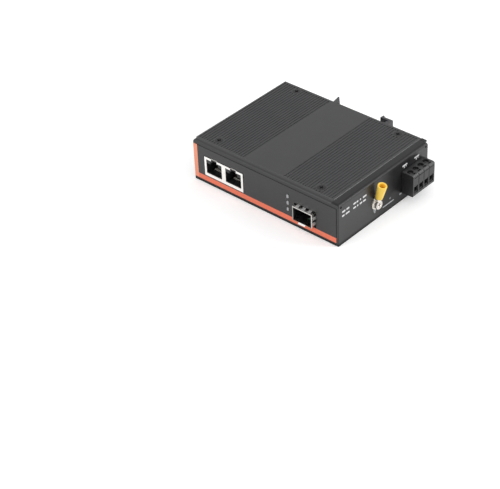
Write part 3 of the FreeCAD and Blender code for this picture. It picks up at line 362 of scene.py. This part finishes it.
def tray_material():
    """Coat of the tray, with painted shade: darker and less glossy on the flange beside the cover, less
    glossy on the terminal-end wall and along the foot.
    """
    mat, tree, shader, where, on_flange = coat_material("tray_paint", FLANGE, FLANGE_SHADE_TONE)
    lost = maths(tree, "MULTIPLY", on_flange, PLAIN_GLOSS - FLANGE_SHADE_GLOSS)
    gloss = maths(tree, "SUBTRACT", PLAIN_GLOSS, lost)
    gloss = maths(tree, "MULTIPLY", gloss, gloss_with_painted_shade(tree, where))
    tree.links.new(gloss, shader.inputs["Specular IOR Level"])
    return mat


materials["cover_paint"] = cover_material()
materials["tray_paint"] = tray_material()


# Metals and plastic with painted light and shade in places of another tone

# The rim of the cage stands behind the tip of its latch tongue and above it
RIM_FRONT = CAGE_LOW.y + 0.8
RIM_BASE = CAGE_LOW.z + 0.35
RIM_DEEP = (RIM_FRONT - 0.01, RIM_FRONT + 0.45)
RIM_WIDE = 0.66
RIM_TALL = 0.51
INSIDE_TOP = CAGE_HIGH.z - 0.6
CAGE_INSIDE = ((CAGE_LOW.x + 0.6, CAGE_HIGH.x - 0.6), (RIM_FRONT + 0.7, CAGE_HIGH.y - 0.3),
               (RIM_BASE + 0.45, INSIDE_TOP))
RIM_FOOT = ((CAGE_LOW.x - OVER, CAGE_HIGH.x + OVER), RIM_DEEP, (RIM_BASE - 0.05, RIM_BASE + RIM_TALL))
RIM_LEFT = ((CAGE_LOW.x - OVER, CAGE_LOW.x + RIM_WIDE), RIM_DEEP, (RIM_BASE + RIM_TALL, INSIDE_TOP))
LATCH_TONGUE = ((CAGE_LOW.x, CAGE_HIGH.x), (CAGE_LOW.y - OVER, RIM_FRONT - 0.02),
                (CAGE_LOW.z - OVER, CAGE_LOW.z + 1.1))
CONTACT_TIPS = (WHOLE_X, WHOLE_Y, (CONTACTS_LOW.z - OVER, CONTACTS_LOW.z + 0.6))
PLUG_TOP = ((TRAY_HIGH.x, PLUG_HIGH.x - 0.9), (PLUG_LOW.y - OVER, PLUG_HIGH.y + OVER),
            (PLUG_HIGH.z - 0.2, PLUG_HIGH.z + OVER))

CAGE_LIGHT_AND_SHADE = [
    # Painted shade inside the cage
    (CAGE_INSIDE, (0.26, 0.26, 0.27)),
    # Painted reflection of the orange stripe on the rim's foot
    (RIM_FOOT, (0.50, 0.26, 0.20)),
    # Painted shade on the rim's left side
    (RIM_LEFT, (0.40, 0.40, 0.38)),
    # Painted highlight on the latch tongue
    (LATCH_TONGUE, (0.93, 0.93, 0.92)),
]
# Painted highlight along the row of contact tips
CONTACT_HIGHLIGHT = [(CONTACT_TIPS, (0.80, 0.76, 0.68))]
# Painted light: the plug's top face is coloured lighter than its sides
PLUG_TOP_LIGHT = [(PLUG_TOP, (0.030, 0.030, 0.031))]

materials["cage_metal"] = toned("cage_metal", (0.70, 0.69, 0.65), CAGE_LIGHT_AND_SHADE, rough=0.32, metal=1.0)
materials["gold_contact"] = toned("gold_contact", (0.09, 0.08, 0.06), CONTACT_HIGHLIGHT, rough=0.30, metal=0.4)
materials["plug_plastic"] = toned("plug_plastic", (0.016, 0.016, 0.017), PLUG_TOP_LIGHT, rough=0.38, metal=0.0,
                                  edge_mm=0.15)


# Printed film and lamp lenses

ORANGE = (0.82, 0.172, 0.088)
# The side stripe's paler orange is a painted sheen on the same orange print
SHEEN_ORANGE = (0.86, 0.31, 0.185)
FILM_TONES = (0.96, 1.06)
STRIPE_TONES = (0.95, 1.03)
FILM_ROUGH = (0.32, 0.42)
FILM_BLOTCH_MM, FILM_GRAIN_MM, FILM_DEEP_MM = 16.0, 0.4, 0.006
# The side stripe's limits in x, and the foot stripe's in z
SIDE_STRIPE = (FILM_LOW.x - OVER, FILM_LOW.x + 3.2)
STRIPE_FOOT, STRIPE_TOP = FILM_LOW.z + 0.25, FILM_LOW.z + 3.7

LENS_TONES = ((0.31, 0.31, 0.33), (0.42, 0.42, 0.44))
LENS_ROUGH = (0.22, 0.34)
LENS_BLOTCH_MM, LENS_DEEP_MM = 1.2, 0.01
LENS_MILK, LENS_MILK_DEPTH = 0.3, 0.8


def film_material():
    """Dark printed film with an orange stripe down its left side and along its foot; the side stripe is
    coloured a paler orange as painted sheen.
    """
    mat, tree, shader = new_material("film_print")
    where = place_on(tree)
    x, _, z = axes(tree, where)
    above_foot = maths(tree, "GREATER_THAN", z, STRIPE_FOOT * MM)
    side = maths(tree, "MULTIPLY", within(tree, x, SIDE_STRIPE), above_foot)
    stripe = maths(tree, "MAXIMUM", side, within(tree, z, (STRIPE_FOOT, STRIPE_TOP)))
    slow = noise(tree, where, FILM_BLOTCH_MM)
    fine = noise(tree, where, FILM_GRAIN_MM, FINE_DETAIL)
    dark = varied(tree, slow, COAT, *FILM_TONES)
    foot_tone = varied(tree, slow, ORANGE, *STRIPE_TONES)
    side_sheen_tone = varied(tree, slow, SHEEN_ORANGE, *STRIPE_TONES)
    bright = blend(tree, side, foot_tone, side_sheen_tone)
    tree.links.new(blend(tree, stripe, dark, bright), shader.inputs["Base Color"])
    tree.links.new(spread(tree, fine, *FILM_ROUGH), shader.inputs["Roughness"])
    bump(tree, shader, fine, FILM_DEEP_MM)
    return mat


def lens_material():
    """Milky clear lens."""
    mat, tree, shader = new_material("lamp_clear")
    slow = noise(tree, place_on(tree), LENS_BLOTCH_MM)
    tree.links.new(tones(tree, slow, *LENS_TONES), shader.inputs["Base Color"])
    tree.links.new(spread(tree, slow, *LENS_ROUGH), shader.inputs["Roughness"])
    shader.inputs["Subsurface Weight"].default_value = LENS_MILK
    shader.inputs["Subsurface Radius"].default_value = (LENS_MILK_DEPTH * MM,) * 3
    bump(tree, shader, slow, LENS_DEEP_MM)
    return mat


materials["film_print"] = film_material()
materials["lamp_clear"] = lens_material()


# Every node gets its record's finish, or one of its own

OWN_FINISH = {"fibre_cage": "cage_metal", "bay_fingers": "finger_metal", "terminal_plug": "plug_plastic"}
OWN_FINISH.update({"clamp_screw_%d" % i: "screw_dark" for i in range(1, 5)})
for part in frame["record"]["subparts"]:
    name = part["node"]
    slots = frame["nodes"][name].data.materials
    slots.clear()
    slots.append(materials[OWN_FINISH.get(name, part["material_slot"])])


# Helpers for pieces

def finish_piece(bm, name, body, slots, smooth=35.0):
    """Turns the built mesh into an object that rides on its body."""
    bmesh.ops.recalc_face_normals(bm, faces=bm.faces)
    for face in bm.faces:
        face.smooth = True
    for edge in bm.edges:
        if len(edge.link_faces) == 2 and edge.calc_face_angle() > math.radians(smooth):
            edge.smooth = False
    mesh = bpy.data.meshes.new(name)
    bm.to_mesh(mesh)
    bm.free()
    for slot in slots:
        mesh.materials.append(materials[slot])
    piece = bpy.data.objects.new(name, mesh)
    bpy.context.scene.collection.objects.link(piece)
    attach(piece, body)
    return piece


def add_slab(bm, points, origin, across, up, thick):
    """A thin plate whose outline lies in the plane of across and up, in millimetres."""
    across, up = Vector(across), Vector(up)
    verts = [bm.verts.new((Vector(origin) + across * a + up * b) * MM) for a, b in points]
    face = bm.faces.new(verts)
    grown = bmesh.ops.extrude_face_region(bm, geom=[face])
    moved = [v for v in grown["geom"] if isinstance(v, bmesh.types.BMVert)]
    bmesh.ops.translate(bm, verts=moved, vec=across.cross(up) * thick * MM)
    return moved


def rounded(width, height, radius, steps=4):
    """Outline of a rectangle with round corners, about its middle."""
    points = []
    for k, (sx, sy) in enumerate(((1, 1), (-1, 1), (-1, -1), (1, -1))):
        for i in range(steps + 1):
            a = math.pi / 2 * (k + i / steps)
            points.append((sx * (width / 2 - radius) + radius * math.cos(a),
                           sy * (height / 2 - radius) + radius * math.sin(a)))
    return points


# Wire sleeve of the earth lug

LUG_FOOT = Vector((59.83, -8.7, 15.6))
LUG_LEAN = math.radians(14.0)
# Faces nearer to the axis than this that look toward it are the bore
SLEEVE_BORE = 2.05
SLEEVE_TURN_STEPS = 56
# Radius and height above the lug's foot: up the outside, over the round mouth and down the bore
SLEEVE_PROFILE = [
    (1.78, 1.80), (2.16, 1.80), (2.28, 1.95), (2.36, 3.0), (2.90, 11.3), (2.92, 11.65), (2.84, 11.92),
    (2.64, 12.08), (2.40, 12.10), (2.18, 11.95), (2.00, 11.6), (1.88, 10.8), (1.80, 9.0), (1.78, 7.7),
]


def make_sleeve():
    """Moulded sleeve that widens toward a rounded mouth, with a deeper colour in its bore."""
    axis = Vector((math.sin(LUG_LEAN), 0.0, math.cos(LUG_LEAN)))
    side = Vector((0.0, 1.0, 0.0))
    bm = bmesh.new()
    verts = [bm.verts.new((LUG_FOOT + side * r + axis * h) * MM) for r, h in SLEEVE_PROFILE]
    edges = [bm.edges.new((verts[i], verts[(i + 1) % len(verts)])) for i in range(len(verts))]
    bmesh.ops.spin(bm, geom=verts + edges, cent=LUG_FOOT * MM, axis=axis, angle=math.tau,
                   steps=SLEEVE_TURN_STEPS, use_merge=True)
    bmesh.ops.recalc_face_normals(bm, faces=bm.faces)
    for face in bm.faces:
        arm = face.calc_center_median() - LUG_FOOT * MM
        arm -= axis * arm.dot(axis)
        if arm.length < SLEEVE_BORE * MM and face.normal.dot(arm) < 0:
            face.material_index = 1
    piece = finish_piece(bm, "wire_sleeve", "converter", ["sleeve_yellow", "sleeve_inside"])
    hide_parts("lug_sleeve")


# Printed signs on the terminal-end wall, all in generic shapes

INK_THICK = 0.02
# Corner radius as a share of the patch's shorter side
INK_CORNER = 0.3
BAR_TALL = 1.15
# Each row of bars: its height on the wall, then the start and the width of each bar
BAR_ROWS = (
    (22.9, ((-39.6, 3.0), (-35.6, 2.6), (-29.2, 2.4), (-26.3, 1.6), (-23.2, 1.0), (-20.4, 3.4))),
    (20.0, ((-39.6, 2.2), (-36.4, 3.6), (-29.4, 2.6), (-25.9, 1.2), (-23.4, 2.4), (-20.2, 2.6))),
)
# Each patch below: the y and z of its middle, its width and its height
CONTACT_MARK = ((0.0, 24.5, 4.8, 1.0), (-0.5, 23.2, 0.9, 1.3), (1.2, 23.4, 0.7, 0.9))
CONTACT_MARKS_AT = (19.8, 31.6)
EARTH_MARK = ((-8.9, 7.5, 3.0, 0.6), (-8.9, 6.6, 2.1, 0.6), (-8.9, 5.7, 1.2, 0.6))
RULE_LINE = (4.1, 5.0, 10.8, 0.7)
PLUG_DOT = (16.0, 5.6, 2.0, 1.2)
SMALL_DOT = (5.8, 8.0, 1.5, 1.0)


def sign_piece(name, patches, slot):
    """Rounded patches of ink on the wall, as one piece."""
    bm = bmesh.new()
    for y, z, wide, tall in patches:
        outline = rounded(wide, tall, min(wide, tall) * INK_CORNER)
        add_slab(bm, outline, (TRAY_HIGH.x, y, z), (0, 1, 0), (0, 0, 1), INK_THICK)
    finish_piece(bm, name, "converter", [slot])


def make_signs():
    """Rows of short bars, two contact marks, an earth mark, a line and two dots."""
    bars = [(start + wide / 2, z, wide, BAR_TALL) for z, row in BAR_ROWS for start, wide in row]
    marks = [(at + y, z, wide, tall) for at in CONTACT_MARKS_AT for y, z, wide, tall in CONTACT_MARK]
    sign_piece("side_signs", bars + marks, "sign_white")
    sign_piece("earth_signs", [RULE_LINE, PLUG_DOT, *EARTH_MARK], "sign_pale")
    sign_piece("small_sign", [SMALL_DOT], "sign_grey")


# Lenses of the lamps

LENS_X, LENS_LOW, LENS_PITCH, LENS_COUNT = 19.3, 10.4, 4.6, 3
STEM_OUTLINE = rounded(1.3, 2.1, 0.6, 6)
STEM_BACK, STEM_LONG = -39.0, 4.35
HEAD_OUTLINE = rounded(1.7, 2.6, 0.8, 6)
HEAD_BACK, HEAD_THICK, HEAD_DOME = -43.32, 0.38, 0.3


def make_lenses():
    """Oval lenses with domed fronts."""
    bm = bmesh.new()
    for i in range(LENS_COUNT):
        z = LENS_LOW + LENS_PITCH * i
        add_slab(bm, STEM_OUTLINE, (LENS_X, STEM_BACK, z), (1, 0, 0), (0, 0, 1), STEM_LONG)
        front = add_slab(bm, HEAD_OUTLINE, (LENS_X, HEAD_BACK, z), (1, 0, 0), (0, 0, 1), HEAD_THICK)
        rim = {e for v in front for e in v.link_edges if all(w in front for w in e.verts)}
        bmesh.ops.bevel(bm, geom=list(rim), offset=HEAD_DOME * MM, segments=4, profile=0.5, affect="EDGES",
                        material=-1)
    piece = finish_piece(bm, "lamp_domes", "converter", ["lamp_clear"], smooth=50.0)
    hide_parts("lamp_lenses")


make_sleeve()
make_signs()
make_lenses()


# Camera, at the photograph's place

CAMERA_PLACE = (0.50905, -0.59449, 0.53662)
# Turns about X, then Y, then Z, in degrees, from looking straight down
CAMERA_TILT, CAMERA_ROLL, CAMERA_TURN = 53.178, 2.227, 41.782
FOCAL_MM, SENSOR_MM = 110.11, 36.0


def make_camera():
    """Looks at the part as the photograph does."""
    data = bpy.data.cameras.new("camera")
    data.lens = FOCAL_MM
    data.sensor_width = SENSOR_MM
    data.clip_start = 0.01
    data.clip_end = 20.0
    camera = bpy.data.objects.new("camera", data)
    camera.location = CAMERA_PLACE
    camera.rotation_euler = [math.radians(angle) for angle in (CAMERA_TILT, CAMERA_ROLL, CAMERA_TURN)]
    bpy.context.scene.collection.objects.link(camera)
    bpy.context.scene.camera = camera


# Floor and light

WHITE = (1.0, 1.0, 1.0, 1.0)
FLOOR_COLOUR = (0.90, 0.90, 0.90, 1.0)
FLOOR_HALF = 3.0
FLOOR_BELOW = 0.0002
FLOOR_GLOW = 0.30
WORLD_LIGHT = 0.8
WORLD_SEEN = 1.0


def seen_rays(tree, *kinds):
    """One for the kinds of ray named, nought for the rest."""
    path = tree.nodes.new("ShaderNodeLightPath")
    seen = path.outputs[kinds[0]]
    for kind in kinds[1:]:
        seen = maths(tree, "MAXIMUM", seen, path.outputs[kind])
    return seen


def floor_material():
    """White matt floor that glows a little to the camera and in glossy reflections."""
    mat = bpy.data.materials.new("floor_white")
    mat.use_nodes = True
    tree = mat.node_tree
    tree.nodes.clear()
    diffuse = tree.nodes.new("ShaderNodeBsdfDiffuse")
    diffuse.inputs["Color"].default_value = FLOOR_COLOUR
    glow = tree.nodes.new("ShaderNodeEmission")
    glow.inputs["Color"].default_value = WHITE
    seen = seen_rays(tree, "Is Camera Ray", "Is Glossy Ray")
    tree.links.new(maths(tree, "MULTIPLY", seen, FLOOR_GLOW), glow.inputs["Strength"])
    both = tree.nodes.new("ShaderNodeAddShader")
    out = tree.nodes.new("ShaderNodeOutputMaterial")
    tree.links.new(diffuse.outputs["BSDF"], both.inputs[0])
    tree.links.new(glow.outputs["Emission"], both.inputs[1])
    tree.links.new(both.outputs["Shader"], out.inputs["Surface"])
    return mat


def make_floor():
    """A wide flat floor just under the part."""
    mesh = bpy.data.meshes.new("floor")
    bm = bmesh.new()
    bmesh.ops.create_grid(bm, x_segments=4, y_segments=4, size=FLOOR_HALF)
    bm.to_mesh(mesh)
    bm.free()
    mesh.materials.append(floor_material())
    floor = bpy.data.objects.new("floor", mesh)
    floor.location.z = -FLOOR_BELOW
    bpy.context.scene.collection.objects.link(floor)


def make_world():
    """White to the camera and in reflections, softer as light."""
    world = bpy.data.worlds.new("studio")
    bpy.context.scene.world = world
    world.use_nodes = True
    tree = world.node_tree
    tree.nodes.clear()
    mix = tree.nodes.new("ShaderNodeMixShader")
    out = tree.nodes.new("ShaderNodeOutputWorld")
    seen = seen_rays(tree, "Is Camera Ray", "Is Glossy Ray", "Is Transmission Ray")
    tree.links.new(seen, mix.inputs["Fac"])
    for socket, strength in ((1, WORLD_LIGHT), (2, WORLD_SEEN)):
        sky = tree.nodes.new("ShaderNodeBackground")
        sky.inputs["Color"].default_value = WHITE
        sky.inputs["Strength"].default_value = strength
        tree.links.new(sky.outputs["Background"], mix.inputs[socket])
    tree.links.new(mix.outputs["Shader"], out.inputs["Surface"])


def make_lamp(name, place, aim, size, power):
    """A square soft lamp that looks at a point."""
    data = bpy.data.lights.new(name, "AREA")
    data.shape = "SQUARE"
    data.size = size
    data.energy = power
    lamp = bpy.data.objects.new(name, data)
    lamp.location = place
    lamp.rotation_mode = "QUATERNION"
    lamp.rotation_quaternion = (Vector(aim) - Vector(place)).to_track_quat("-Z", "Y")
    bpy.context.scene.collection.objects.link(lamp)


make_camera()
make_floor()
make_world()
make_lamp("key", place=(0.72, 0.50, 0.50), aim=(0.03, 0.0, 0.01), size=0.35, power=3.6)
make_lamp("fill", place=(-0.35, -0.90, 0.60), aim=(0.0, -0.05, 0.0), size=0.6, power=2.6)
